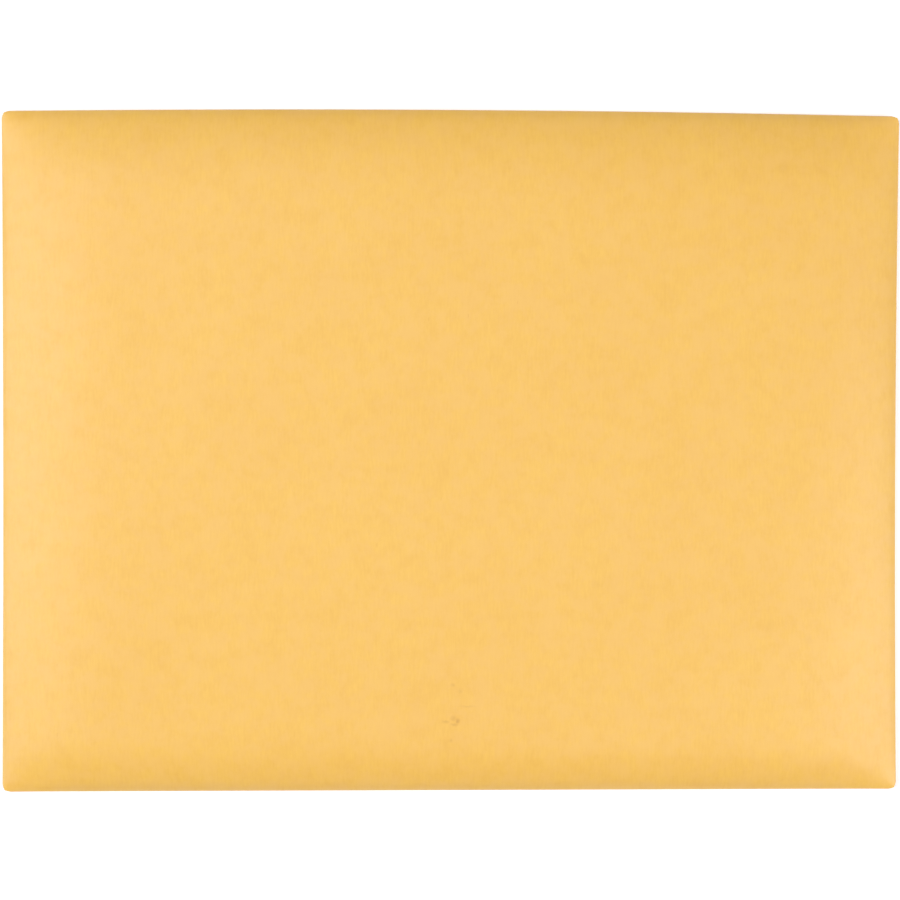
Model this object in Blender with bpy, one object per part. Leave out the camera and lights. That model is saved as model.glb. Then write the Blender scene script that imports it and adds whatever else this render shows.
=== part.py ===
"""Clasp envelope: a folded kraft sheet, its metal clasp and eyelet, and two patches.

The envelope lies closed on its back. +X runs along its length, +Y from the flap
fold to the closed fold, and +Z up from the floor at z = 0. Sizes are in metres.
"""

import math

import bmesh
import bpy
from mathutils import Matrix, Vector

# Kraft sheet, folded
LENGTH = 0.3175  # between the two side folds
WIDTH = 0.2413  # between the flap fold and the closed fold
HEIGHT = 0.0090  # floor to the top of the puffed front
PAPER = 0.00018
CORNER_RADIUS = 0.0028
FOLD_RADIUS = 0.0005  # to the middle of the paper
RIM_HEIGHT = 0.0018  # of the lower sheet at the folds, above the floor
RIM_ZONE = 0.014  # over which the lower sheet rises to the folds
ROLL_SIDE = 0.050  # over which the front falls to each side fold
ROLL_CLOSED = 0.042  # and to the closed fold
ROLL_FLAP = 0.028  # and to the flap fold
ROLL_POWER = 3  # how much of that fall is near the fold
LEFT_PULL = 0.00032  # how far the puffed front draws each side fold in
RIGHT_PULL = 0.00074
CLOSED_DROOP = 0.00135  # how far the closed fold falls back at its two ends

# Glued side flaps, back panel and seal flap
SIDE_FLAP = 0.018
SIDE_FLAP_SLANT = 0.009
LAYER_GAP = 0.00010  # glued layers
FLAP_GAP = 0.00012  # loose layers
THROAT_INSET = 0.008  # from the flap fold to the back panel's edge
FLAP_DEPTH = 0.046
FLAP_TAPER = 0.010
FLAP_CORNER = 0.014
FLAP_STEP = 0.030  # over which the back panel comes down past the flap's edge

# Clasp, in line with the flap's hole
CLASP_INSET = 0.025  # from the flap fold
METAL = 0.00030
LAND_RADIUS = 0.0034
LAND_LENGTH = 0.0030  # from the eyelet's axis to the bend
BEND_RUN = 0.0010
PRONG_LENGTH = 0.0170
NECK_WIDTH = 0.0044
PRONG_WIDTH = 0.0060
SHOULDER = 0.0026  # over which the neck widens to the prong
TIP_RADIUS = 0.0024

# Eyelet
SHANK_RADIUS = 0.0014
BORE_RADIUS = 0.0009
HEAD_RADIUS = 0.0023
CLINCH_RADIUS = 0.0026
EYELET_METAL = 0.00026
SHANK_CLEARANCE = 0.0003

# Flap hole and reinforcing patches
HOLE_RADIUS = 0.0055
PATCH_PAPER = 0.00014
FLAP_PATCH = (0.025, 0.020)
BACK_PATCH = (0.022, 0.022)
PATCH_CORNER = 0.002

# Fits and mesh
SEAT = 0.0003  # between a piece and what carries it
SWELL_FADE = 0.045  # over which the sheets settle around the clasp
EDGE_CELL = 0.0026
CELL_GROWTH = 0.25
SMALLEST_CELL = 0.0012
BEND_STEPS = 6
ARC_STEPS = 5
ROUND_STEPS = 32

HALF_LENGTH = LENGTH / 2
HALF_WIDTH = WIDTH / 2
FOLD_X = HALF_LENGTH - PAPER / 2 - FOLD_RADIUS  # where each fold's bend begins
FOLD_Y = HALF_WIDTH - PAPER / 2 - FOLD_RADIUS
PANEL_X = HALF_LENGTH - CORNER_RADIUS  # where the rounded corners begin
PANEL_Y = HALF_WIDTH - CORNER_RADIUS
FOLD_END = math.sqrt(CORNER_RADIUS ** 2 - (CORNER_RADIUS - 0.6 * FOLD_RADIUS) ** 2)
FOLD_END_X = PANEL_X + FOLD_END  # the folds run on a little way into the corners
FOLD_END_Y = PANEL_Y + FOLD_END
SIDE_FLAP_X = HALF_LENGTH - SIDE_FLAP
THROAT_Y = THROAT_INSET - HALF_WIDTH
FLAP_END_Y = FLAP_DEPTH - HALF_WIDTH
CLASP_Y = CLASP_INSET - HALF_WIDTH
PUFF = HEIGHT - PAPER / 2 - RIM_HEIGHT - 2 * FOLD_RADIUS
SWELL_FLAT_X = max(FLAP_PATCH[0], BACK_PATCH[0]) / 2 + SEAT
SWELL_FLAT_Y = max(FLAP_PATCH[1], BACK_PATCH[1]) / 2 + SEAT
SHANK_HOLE = SHANK_RADIUS + SHANK_CLEARANCE
BLADE_START = LAND_LENGTH + BEND_RUN
TIP_START = PRONG_LENGTH - TIP_RADIUS


def fade(distance, flat, run):
    """One up to flat, then a smooth fall to nothing over run."""
    share = min(max((distance - flat) / run, 0.0), 1.0)
    return 1 - share * share * (3 - 2 * share)


def rim_share(x, y):
    """How far the lower sheet has risen to the folds: 0 inside, 1 at a fold."""
    level_x = 1 - max(0.0, 1 - (FOLD_X - abs(x)) / RIM_ZONE) ** 2
    level_y = 1 - max(0.0, 1 - (FOLD_Y - abs(y)) / RIM_ZONE) ** 2
    return 1 - level_x * level_y


def swell(x, y):
    """How far the sheets are spread by the clasp: 1 around it, 0 away from it."""
    return fade(abs(x), SWELL_FLAT_X, SWELL_FADE) * fade(abs(y - CLASP_Y), SWELL_FLAT_Y, SWELL_FADE)


def flap_lift(y):
    """How much of the seal flap's thickness the back panel rests on."""
    return fade(y, FLAP_END_Y + SMALLEST_CELL, FLAP_STEP)


def flap_height(x, y):
    """Middle of the seal flap, and of whatever sheet meets the floor."""
    low = PAPER / 2 + swell(x, y) * (METAL + SEAT)
    return low + (RIM_HEIGHT - low) * rim_share(x, y)


def back_height(x, y):
    """Middle of the back panel, over the seal flap and the patch at the clasp."""
    loose = flap_lift(y) * (PAPER + FLAP_GAP)
    patch = swell(x, y) * (2 * SEAT + PATCH_PAPER - FLAP_GAP)
    return flap_height(x, y) + loose + patch


def side_height(x, y):
    """Middle of a side flap, glued inside the back panel."""
    return back_height(x, y) + PAPER + LAYER_GAP


def roll(distance, run):
    """Rise of the front from a fold: 0 at the fold, 1 once past run."""
    return 1 - (1 - min(max(distance / run, 0.0), 1.0)) ** ROLL_POWER


def front_height(x, y):
    """Middle of the puffed front panel."""
    along = roll(FOLD_X - x, ROLL_SIDE) * roll(FOLD_X + x, ROLL_SIDE)
    across = roll(FOLD_Y - y, ROLL_CLOSED) * roll(FOLD_Y + y, ROLL_FLAP)
    layers = side_height(math.copysign(FOLD_X, x), y) - RIM_HEIGHT
    seam = layers * max(0.0, 1 - (FOLD_X - abs(x)) / SIDE_FLAP) ** 2
    return RIM_HEIGHT + 2 * FOLD_RADIUS + seam + PUFF * along * across


def drawn_in(x, y):
    """The plan position once the puffed front has drawn the folds in."""
    pull = RIGHT_PULL if x > 0 else LEFT_PULL
    share_x = x / HALF_LENGTH
    share_y = y / HALF_WIDTH
    droop = CLOSED_DROOP * max(share_y, 0.0) ** 2 * share_x ** 2
    return x - math.copysign(pull, x) * share_x ** 2 * (1 - share_y ** 2), y - droop


def stations(needed, wanted):
    """Grid lines through the marks, closest together near the two ends."""
    marks = list(needed)
    for mark in wanted:
        if min(abs(mark - kept) for kept in marks) > SMALLEST_CELL:
            marks.append(mark)
    marks.sort()
    lines = [marks[0]]
    for start, stop in zip(marks, marks[1:]):
        middle = (start + stop) / 2
        cell = EDGE_CELL + CELL_GROWTH * min(middle - marks[0], marks[-1] - middle)
        count = max(1, round((stop - start) / cell))
        lines += [start + (stop - start) * step / count for step in range(1, count + 1)]
    return lines


def lengthwise_stations():
    """Grid lines across the length, the same for every layer."""
    needed = [0.0]
    wanted = []
    for side in (-1, 1):
        needed += [side * mark for mark in (FOLD_X, FOLD_END_X, SIDE_FLAP_X)]
        wanted += [side * mark for mark in (PANEL_X, FOLD_X - RIM_ZONE, FOLD_X - ROLL_SIDE)]
        wanted.append(side * SWELL_FLAT_X)
        wanted.append(side * (SWELL_FLAT_X + SWELL_FADE / 2))
        wanted.append(side * (SWELL_FLAT_X + SWELL_FADE))
    return stations(needed, wanted)


def widthwise_stations():
    """Grid lines across the width, the same for every layer."""
    lift_start = FLAP_END_Y + SMALLEST_CELL
    needed = [-FOLD_Y, -FOLD_END_Y, THROAT_Y, FLAP_END_Y, FOLD_END_Y, FOLD_Y]
    wanted = [-PANEL_Y, PANEL_Y, CLASP_Y - SWELL_FLAT_Y, CLASP_Y + SWELL_FLAT_Y]
    wanted.append(RIM_ZONE - FOLD_Y)
    wanted += [lift_start + FLAP_STEP / 2, lift_start + FLAP_STEP]
    wanted += [CLASP_Y + SWELL_FLAT_Y + SWELL_FADE, FOLD_Y - ROLL_CLOSED, FOLD_Y - RIM_ZONE]
    return stations(needed, wanted)


def within(lines, low, high):
    """The grid lines from low to high, both included."""
    return [line for line in lines if low - 1e-9 <= line <= high + 1e-9]


def grid(rows):
    """A sheet of triangles through rows of points, each split the same way."""
    sheet = bmesh.new()
    corners = [[sheet.verts.new(point) for point in row] for row in rows]
    for lower, upper in zip(corners, corners[1:]):
        for index in range(len(lower) - 1):
            sheet.faces.new((lower[index], lower[index + 1], upper[index + 1]))
            sheet.faces.new((lower[index], upper[index + 1], upper[index]))
    return sheet


def panel(xs, ys, height):
    """A sheet over the given grid lines at the given height."""
    return grid([[(x, y, height(x, y)) for x in xs] for y in ys])


def cut_straight(sheet, start, stop):
    """Cut a sheet along a line in plan, keeping what lies to the line's left."""
    along = (Vector(stop) - Vector(start)).normalized()
    outward = Vector((along.y, -along.x, 0))
    geometry = sheet.verts[:] + sheet.edges[:] + sheet.faces[:]
    bmesh.ops.bisect_plane(sheet, geom=geometry, dist=1e-6, plane_co=(*start, 0),
                           plane_no=outward, clear_outer=True)


def cut_round(sheet, centre, radius, start_angle, stop_angle):
    """Round a corner of a sheet with short straight cuts around its arc."""
    for step in range(ARC_STEPS + 1):
        angle = start_angle + (stop_angle - start_angle) * step / ARC_STEPS
        touch = Vector(centre) + radius * Vector((math.cos(angle), math.sin(angle)))
        cut_straight(sheet, touch, touch + Vector((-math.sin(angle), math.cos(angle))))


def slope(height, x, y, outward):
    """Fall of a sheet in the outward direction, as an angle."""
    reach = 1e-5
    inside = height(x - outward[0] * reach, y - outward[1] * reach)
    return math.atan((inside - height(x, y)) / reach)


def fold_reach(x, y):
    """How far a fold's bend stands out, following the rounded corners at its ends."""
    past = max(abs(x) - PANEL_X, 0.0) if abs(y) == FOLD_Y else max(abs(y) - PANEL_Y, 0.0)
    return FOLD_RADIUS - CORNER_RADIUS + math.sqrt(CORNER_RADIUS ** 2 - past ** 2)


def bend(x, y, outward, upper, lower):
    """Points around a fold, leaving the upper sheet and meeting the lower one."""
    fall = slope(upper, x, y, outward)
    rise = -slope(lower, x, y, outward)
    arm = 8 / 3 * fold_reach(x, y) / (math.cos(fall) + math.cos(rise))
    side = Vector((outward[0], outward[1], 0))
    start = Vector((x, y, upper(x, y)))
    stop = Vector((x, y, lower(x, y)))
    above = start + arm * (side * math.cos(fall) - Vector((0, 0, math.sin(fall))))
    below = stop + arm * (side * math.cos(rise) - Vector((0, 0, math.sin(rise))))
    points = []
    for step in range(BEND_STEPS + 1):
        share = step / BEND_STEPS
        rest = 1 - share
        points.append(rest ** 3 * start + 3 * rest ** 2 * share * above
                      + 3 * rest * share ** 2 * below + share ** 3 * stop)
    return points


def front_sheet(xs, ys):
    """The front panel, with its four corners rounded."""
    sheet = panel(xs, ys, front_height)
    for quarter, (side, end) in enumerate(((1, 1), (-1, 1), (-1, -1), (1, -1))):
        centre = (side * PANEL_X, end * PANEL_Y)
        start = quarter * math.pi / 2
        cut_round(sheet, centre, CORNER_RADIUS, start, start + math.pi / 2)
    return sheet


def side_flap_sheet(xs, ys, side):
    """A side flap, with its two ends cut on the slant."""
    edges = sorted((side * SIDE_FLAP_X, side * FOLD_X))
    sheet = panel(within(xs, *edges), within(ys, -FOLD_END_Y, FOLD_END_Y), side_height)
    for end in (-1, 1):
        root = Vector((side * FOLD_X, end * FOLD_END_Y))
        tip = Vector((side * SIDE_FLAP_X, end * (FOLD_END_Y - SIDE_FLAP_SLANT)))
        cut_straight(sheet, *((root, tip) if side * end > 0 else (tip, root)))
    return sheet


def seal_flap_sheet(xs, ys):
    """The seal flap, tapered from its fold and rounded at its two corners."""
    sheet = panel(within(xs, -FOLD_END_X, FOLD_END_X), within(ys, -FOLD_Y, FLAP_END_Y),
                  flap_height)
    taper = math.atan2(FLAP_TAPER, FLAP_END_Y + FOLD_Y)
    half = FOLD_END_X - FLAP_TAPER
    inset = FLAP_CORNER * (1 - math.sin(taper)) / math.cos(taper)
    for side in (-1, 1):
        root = Vector((side * FOLD_END_X, -FOLD_Y))
        tip = Vector((side * half, FLAP_END_Y))
        cut_straight(sheet, *((root, tip) if side > 0 else (tip, root)))
        centre = (side * (half - inset), FLAP_END_Y - FLAP_CORNER)
        ends = (taper, math.pi / 2) if side > 0 else (math.pi / 2, math.pi - taper)
        cut_round(sheet, centre, FLAP_CORNER, *ends)
    return sheet


def kraft_sheet():
    """The whole folded sheet as one surface through the middle of the paper."""
    xs = lengthwise_stations()
    ys = widthwise_stations()
    fold_xs = within(xs, -FOLD_END_X, FOLD_END_X)
    fold_ys = within(ys, -FOLD_END_Y, FOLD_END_Y)
    pieces = [front_sheet(xs, ys), seal_flap_sheet(xs, ys)]
    pieces.append(panel(fold_xs, within(ys, THROAT_Y, FOLD_Y), back_height))
    pieces.append(grid([bend(x, FOLD_Y, (0, 1), front_height, back_height) for x in fold_xs]))
    pieces.append(grid([bend(x, -FOLD_Y, (0, -1), front_height, flap_height) for x in fold_xs]))
    for side in (-1, 1):
        pieces.append(side_flap_sheet(xs, ys, side))
        pieces.append(grid([bend(side * FOLD_X, y, (side, 0), front_height, side_height)
                            for y in fold_ys]))
    whole = bmesh.new()
    for piece in pieces:
        mesh = bpy.data.meshes.new("piece")
        piece.to_mesh(mesh)
        piece.free()
        whole.from_mesh(mesh)
        bpy.data.meshes.remove(mesh)
    bmesh.ops.remove_doubles(whole, verts=whole.verts[:], dist=1e-6)
    bmesh.ops.recalc_face_normals(whole, faces=whole.faces[:])
    for vert in whole.verts:
        vert.co.x, vert.co.y = drawn_in(vert.co.x, vert.co.y)
    return whole


def finish(colour, roughness, metallic=0.0):
    """A plain material for one sub-part."""
    material = bpy.data.materials.new("finish")
    material.use_nodes = True
    shader = material.node_tree.nodes["Principled BSDF"]
    shader.inputs["Base Color"].default_value = (*colour, 1)
    shader.inputs["Roughness"].default_value = roughness
    shader.inputs["Metallic"].default_value = metallic
    return material


def make_object(name, sheet, place=(0, 0, 0), material=None, smooth_angle=30):
    """Put a bmesh in the scene as a named object and free it."""
    mesh = bpy.data.meshes.new(name)
    sheet.to_mesh(mesh)
    sheet.free()
    mesh.shade_smooth()
    mesh.set_sharp_from_angle(angle=math.radians(smooth_angle))
    item = bpy.data.objects.new(name, mesh)
    item.location = place
    bpy.context.collection.objects.link(item)
    if material:
        material.name = name + "_finish"
        mesh.materials.append(material)
    return item


def thicken(item, thickness):
    """Give a sheet its thickness, half to each side."""
    solidify = item.modifiers.new("thickness", "SOLIDIFY")
    solidify.thickness = thickness
    solidify.offset = 0
    solidify.use_even_offset = True
    solidify.use_rim = True


def cut_with(item, cutter):
    """Cut a hole through an object."""
    boolean = item.modifiers.new(cutter.name, "BOOLEAN")
    boolean.operation = "DIFFERENCE"
    boolean.solver = "EXACT"
    boolean.object = cutter


def bore(name, radius, bottom, top):
    """A round cutter on the eyelet's axis."""
    drum = bmesh.new()
    bmesh.ops.create_cone(drum, cap_ends=True, segments=ROUND_STEPS, radius1=radius,
                          radius2=radius, depth=top - bottom)
    cutter = make_object(name, drum, (0, CLASP_Y, (bottom + top) / 2))
    cutter.hide_render = True
    cutter.display_type = "WIRE"
    return cutter


def clasp_levels():
    """Heights at the clasp: the sheets', the land's, the eyelet's and the patches'."""
    flap_top = flap_height(0, CLASP_Y) + PAPER / 2
    back_bottom = back_height(0, CLASP_Y) - PAPER / 2
    back_top = back_bottom + PAPER
    land_top = back_bottom - SEAT
    back_patch = back_top + SEAT
    return {
        "flap_patch": flap_top + SEAT,
        "hole_cut": back_bottom - SEAT / 2,
        "land": land_top - METAL / 2,
        "head_top": land_top - METAL - SEAT,
        "back_patch": back_patch,
        "clinch_bottom": back_patch + PATCH_PAPER + SEAT,
    }


def clasp_half_width(y):
    """Half the clasp's width at a distance from the eyelet's axis."""
    neck = NECK_WIDTH / 2
    if y <= BLADE_START:
        return max(neck, math.sqrt(max(LAND_RADIUS ** 2 - y ** 2, 0.0)))
    if y <= TIP_START:
        blade = PRONG_WIDTH / 2
        taper = (TIP_RADIUS - blade) * (y - BLADE_START) / (TIP_START - BLADE_START)
        return blade + taper - (blade - neck) * fade(y, BLADE_START, SHOULDER)
    return math.sqrt(max(TIP_RADIUS ** 2 - (y - TIP_START) ** 2, 0.0))


def clasp_stations():
    """Distances from the eyelet's axis at which the clasp changes width or height."""
    round_end = math.sqrt(LAND_RADIUS ** 2 - (NECK_WIDTH / 2) ** 2)
    marks = [round_end * step / ARC_STEPS for step in range(ARC_STEPS + 1)]
    marks += [LAND_LENGTH, BLADE_START]
    marks += [BLADE_START + SHOULDER * step / ARC_STEPS for step in range(1, ARC_STEPS + 1)]
    marks.append(TIP_START)
    last = math.pi / 2 * ARC_STEPS / (ARC_STEPS + 1)
    marks += [TIP_START + TIP_RADIUS * math.sin(last * step / ARC_STEPS)
              for step in range(1, ARC_STEPS + 1)]
    return marks


def clasp_sheet():
    """The clasp's strip through the middle of its metal, prong tip to prong tip."""
    land = clasp_levels()["land"]
    rows = []
    for y in clasp_stations():
        height = land if y <= LAND_LENGTH else METAL / 2
        rows.append((y, clasp_half_width(y), height))
    both = [(-y, half, height) for y, half, height in reversed(rows[1:])] + rows
    columns = (-1, -0.5, 0, 0.5, 1)
    return grid([[(half * column, y, height) for column in columns] for y, half, height in both])


def make_clasp(shank_cutter):
    """The stamped clasp, its prongs bent flat over the flap."""
    metal = finish((0.62, 0.50, 0.28), 0.35, 1.0)
    clasp = make_object("metal_clasp", clasp_sheet(), (0, CLASP_Y, 0), metal)
    thicken(clasp, METAL)
    cut_with(clasp, shank_cutter)


def make_eyelet():
    """The tubular eyelet, turned from its section."""
    levels = clasp_levels()
    head_bottom = levels["head_top"] - EYELET_METAL
    clinch_top = levels["clinch_bottom"] + EYELET_METAL
    section = [
        (BORE_RADIUS, head_bottom),
        (HEAD_RADIUS - EYELET_METAL / 2, head_bottom),
        (HEAD_RADIUS, head_bottom + EYELET_METAL / 2),
        (HEAD_RADIUS, levels["head_top"]),
        (SHANK_RADIUS, levels["head_top"]),
        (SHANK_RADIUS, levels["clinch_bottom"]),
        (CLINCH_RADIUS, levels["clinch_bottom"]),
        (CLINCH_RADIUS - EYELET_METAL / 2, clinch_top),
        (BORE_RADIUS, clinch_top),
    ]
    turned = bmesh.new()
    verts = [turned.verts.new((radius, 0, height)) for radius, height in section]
    edges = [turned.edges.new(pair) for pair in zip(verts, verts[1:] + verts[:1])]
    bmesh.ops.spin(turned, geom=verts + edges, cent=(0, 0, 0), axis=(0, 0, 1), dvec=(0, 0, 0),
                   angle=math.tau, steps=ROUND_STEPS, use_merge=True)
    bmesh.ops.recalc_face_normals(turned, faces=turned.faces[:])
    make_object("clasp_eyelet", turned, (0, CLASP_Y, 0), finish((0.66, 0.55, 0.33), 0.32, 1.0))


def make_patch(name, size, bottom, cutter, material):
    """A square-cut paper patch with small round corners and a round hole."""
    plate = bmesh.new()
    bmesh.ops.create_grid(plate, x_segments=1, y_segments=1, size=0.5,
                          matrix=Matrix.Diagonal((*size, 1, 1)))
    bmesh.ops.bevel(plate, geom=plate.verts[:], offset=PATCH_CORNER, segments=ARC_STEPS,
                    profile=0.5, affect="VERTICES")
    patch = make_object(name, plate, (0, CLASP_Y, bottom + PATCH_PAPER / 2), material)
    thicken(patch, PATCH_PAPER)
    cut_with(patch, cutter)


def make_envelope(hole_cutter, shank_cutter):
    """The folded sheet, with its flap hole and the hole for the eyelet."""
    kraft = finish((0.95, 0.60, 0.17), 0.55)
    envelope = make_object("kraft_envelope", kraft_sheet(), material=kraft)
    thicken(envelope, PAPER)
    cut_with(envelope, hole_cutter)
    cut_with(envelope, shank_cutter)


def clear_scene():
    """Remove whatever objects the scene holds."""
    for item in list(bpy.data.objects):
        bpy.data.objects.remove(item, do_unlink=True)


def main():
    """Build every sub-part."""
    clear_scene()
    levels = clasp_levels()
    below_floor = -METAL
    shank_top = levels["clinch_bottom"] + EYELET_METAL
    hole_cutter = bore("flap_hole_cutter", HOLE_RADIUS, below_floor, levels["hole_cut"])
    shank_cutter = bore("shank_hole_cutter", SHANK_HOLE, below_floor, shank_top)
    make_envelope(hole_cutter, shank_cutter)
    make_clasp(shank_cutter)
    make_eyelet()
    buff = finish((0.90, 0.55, 0.20), 0.7)
    make_patch("flap_hole_patch", FLAP_PATCH, levels["flap_patch"], hole_cutter, buff)
    buff = finish((0.90, 0.55, 0.20), 0.7)
    make_patch("clasp_backing_patch", BACK_PATCH, levels["back_patch"], shank_cutter, buff)


main()
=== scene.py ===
"""The looks of a kraft clasp envelope, lying closed on its back in a pale studio.

+X runs along the envelope's length, +Y from its flap fold to its closed fold and
+Z up from the floor. Lengths are in metres.
"""

import logging
import math
from collections.abc import Callable, Iterable, Sequence
from dataclasses import dataclass, field
from enum import Enum
from functools import partial, reduce

import bmesh
import bpy
import numpy as np
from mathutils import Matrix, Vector


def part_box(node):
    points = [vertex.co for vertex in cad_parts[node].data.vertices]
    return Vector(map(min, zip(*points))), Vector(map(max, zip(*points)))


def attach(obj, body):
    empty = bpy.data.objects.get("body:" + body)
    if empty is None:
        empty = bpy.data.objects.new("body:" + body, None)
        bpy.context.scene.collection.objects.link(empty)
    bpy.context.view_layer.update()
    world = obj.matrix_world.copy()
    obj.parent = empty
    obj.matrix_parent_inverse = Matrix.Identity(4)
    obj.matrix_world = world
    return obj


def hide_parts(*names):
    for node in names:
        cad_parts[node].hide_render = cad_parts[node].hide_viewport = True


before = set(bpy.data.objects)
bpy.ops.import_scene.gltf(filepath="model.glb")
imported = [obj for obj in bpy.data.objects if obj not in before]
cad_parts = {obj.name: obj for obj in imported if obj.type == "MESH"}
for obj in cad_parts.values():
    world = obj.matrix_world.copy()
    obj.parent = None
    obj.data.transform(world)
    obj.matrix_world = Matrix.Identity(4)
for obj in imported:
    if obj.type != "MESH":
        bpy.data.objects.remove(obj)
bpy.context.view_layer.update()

LOG = logging.getLogger("clasp_envelope")
BODY = "root"
LENGTH = 0.3175
WIDTH = 0.2413
# The flap's hole, the back panel's hole for the eyelet, and the heights that part their cutters.
HOLE_RADIUS = 0.0055
SHANK_HOLE = 0.0017
HOLE_LEVELS = (0.0009, 0.0024)
# The middle of the small darker mark in the front's colour, in plan.
MARK_PLACE = (-0.0004, -0.0952)
WHITE = (1.0, 1.0, 1.0, 1.0)
ORIGIN = (0.0, 0.0, 0.0)
EVEN = (1.0, 1.0, 1.0)
# How many times finer the second set of streaks is.
FINER = 2.7
# How far apart two heights are read to find a slope.
PROBE = 1e-5
# Points closer than this are one point.
WELD = 1e-6

Colour = tuple[float, float, float]
Point = tuple[float, float, float]
Height = Callable[[float, float], float]
Socket = bpy.types.NodeSocket
# What feeds a socket: another socket or a plain value.
Value = Socket | float | Sequence[float] | None


class Fold(Enum):
    """The four folds, each by its outward direction in plan."""

    LEFT = (-1, 0)
    RIGHT = (1, 0)
    FLAP = (0, -1)
    CLOSED = (0, 1)


class Grain(Enum):
    """Which way a finish's fine lines run, as stretch factors along X, Y and Z."""

    ALONG_X = (12.0, 1.0, 1.0)
    ALONG_Y = (1.0, 12.0, 1.0)


def fade(distance: float, flat: float, run: float) -> float:
    """Fall smoothly from one to nothing.

    Args:
        distance: where to read the fall.
        flat: how far the value stays at one.
        run: how far the fall takes after that.

    Returns:
        The share left, between 0 and 1.
    """
    share = min(max((distance - flat) / run, 0.0), 1.0)
    return 1 - share * share * (3 - 2 * share)


# Node trees


class Graph:
    """A node tree that is being wired, shader or geometry."""

    def __init__(self, tree: bpy.types.NodeTree) -> None:
        """Keep the tree that nodes go into."""
        self.tree = tree

    def node(self, kind: str, inputs: dict | None = None, **settings: object) -> bpy.types.Node:
        """Add a node.

        Args:
            kind: the node's type name.
            inputs: values or sockets by input name or index.
            **settings: the node's own properties.

        Returns:
            The new node.
        """
        made = self.tree.nodes.new(kind)
        for name, value in settings.items():
            setattr(made, name, value)
        for name, value in (inputs or {}).items():
            self.feed(made.inputs[name], value)
        return made

    def feed(self, target: Socket, value: Value) -> None:
        """Link a socket to a target, or set the target's own value.

        Args:
            target: the socket that is fed.
            value: what feeds it; None leaves it as it is.
        """
        if isinstance(value, Socket):
            self.tree.links.new(value, target)
        elif value is not None:
            target.default_value = value

    def math(self, operation: str, first: Value, second: Value = None) -> Socket:
        """Add a Math node and return its result."""
        return self.node("ShaderNodeMath", {0: first, 1: second}, operation=operation).outputs[0]

    def vector(self, operation: str, first: Value, second: Value = None) -> Socket:
        """Add a Vector Math node and return its vector."""
        return self.node("ShaderNodeVectorMath", {0: first, 1: second},
                         operation=operation).outputs[0]

    def scaled(self, vector: Socket, factor: Value) -> Socket:
        """Multiply a vector by one number."""
        return self.node("ShaderNodeVectorMath", {0: vector, "Scale": factor},
                         operation="SCALE").outputs[0]

    def in_steps(self, vector: Socket, spacing: Value) -> Socket:
        """Measure a vector in steps of a spacing."""
        return self.scaled(vector, self.math("DIVIDE", 1.0, spacing))

    def length(self, vector: Socket) -> Socket:
        """Measure how long a vector is."""
        return self.node("ShaderNodeVectorMath", {0: vector}, operation="LENGTH").outputs["Value"]

    def product(self, *factors: Value) -> Socket:
        """Multiply values, from left to right."""
        return reduce(partial(self.math, "MULTIPLY"), factors)

    def total(self, *terms: tuple[Value, Value]) -> Socket:
        """Add up values, each times its weight."""
        return reduce(partial(self.math, "ADD"), [self.product(*term) for term in terms])

    def spread(self, value: Value, low: float, high: float, to_low: float = 0.0,
               to_high: float = 1.0) -> Socket:
        """Map a value smoothly from one range to another.

        Args:
            value: the socket to map.
            low: value that becomes to_low.
            high: value that becomes to_high.
            to_low: start of the new range.
            to_high: end of the new range.

        Returns:
            The mapped value's socket.
        """
        inputs = {"Value": value, "From Min": low, "From Max": high,
                  "To Min": to_low, "To Max": to_high}
        return self.node("ShaderNodeMapRange", inputs,
                         interpolation_type="SMOOTHSTEP").outputs["Result"]

    def blend(self, share: Value, first: Value, second: Value) -> Socket:
        """Mix two colours.

        Args:
            share: how much of the second colour shows.
            first: the colour, or its socket, underneath.
            second: the colour, or its socket, on top.

        Returns:
            The mixed colour's socket.
        """
        made = self.node("ShaderNodeMix", data_type="RGBA")
        self.feed(made.inputs["Factor"], share)
        colours = [socket for socket in made.inputs if socket.type == "RGBA"]
        for socket, colour in zip(colours, (first, second)):
            self.feed(socket, colour if isinstance(colour, Socket) else (*colour, 1.0))
        return next(socket for socket in made.outputs if socket.type == "RGBA")

    def noise(self, vector: Socket, seed: Value, detail: float, rough: float,
              scale: float = 1.0) -> Socket:
        """Add a seeded noise texture.

        Args:
            vector: where it is read.
            seed: the place along its fourth axis.
            detail: how many finer layers it has.
            rough: how strong each finer layer is.
            scale: how small its waves are.

        Returns:
            The noise's value.
        """
        inputs = {"Vector": vector, "W": seed, "Scale": scale, "Detail": detail,
                  "Roughness": rough}
        return self.node("ShaderNodeTexNoise", inputs, noise_dimensions="4D").outputs[0]

    def group(self, tree: bpy.types.NodeTree, **inputs: Value) -> bpy.types.bpy_prop_collection:
        """Place a shader node group.

        Args:
            tree: the group.
            **inputs: values or sockets by input name, in small letters.

        Returns:
            The outputs of the placed group.
        """
        made = self.node("ShaderNodeGroup", node_tree=tree)
        for name, value in inputs.items():
            self.feed(made.inputs[name.replace("_", " ").title()], value)
        return made.outputs

    def stored(self, name: str) -> Socket:
        """Read a number that a mesh stores for each of its vertices."""
        return self.node("ShaderNodeAttribute", attribute_name=name).outputs["Fac"]

    def background_rays(self) -> Socket:
        """Mark the rays that show the background.

        Returns:
            A socket that is 1 for straight, mirrored and passed rays.
        """
        rays = self.node("ShaderNodeLightPath").outputs
        seen = self.math("MAXIMUM", rays["Is Camera Ray"], rays["Is Glossy Ray"])
        return self.math("MAXIMUM", seen, rays["Is Transmission Ray"])

    def bump(self, shader: bpy.types.Node, height: Socket, strength: float,
             distance: float) -> None:
        """Raise a shader's surface.

        Args:
            shader: the Principled shader.
            height: how far it rises, 0 to 1.
            strength: how strongly it shades.
            distance: the whole rise.
        """
        inputs = {"Strength": strength, "Distance": distance, "Height": height}
        self.feed(shader.inputs["Normal"], self.node("ShaderNodeBump", inputs).outputs["Normal"])

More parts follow.
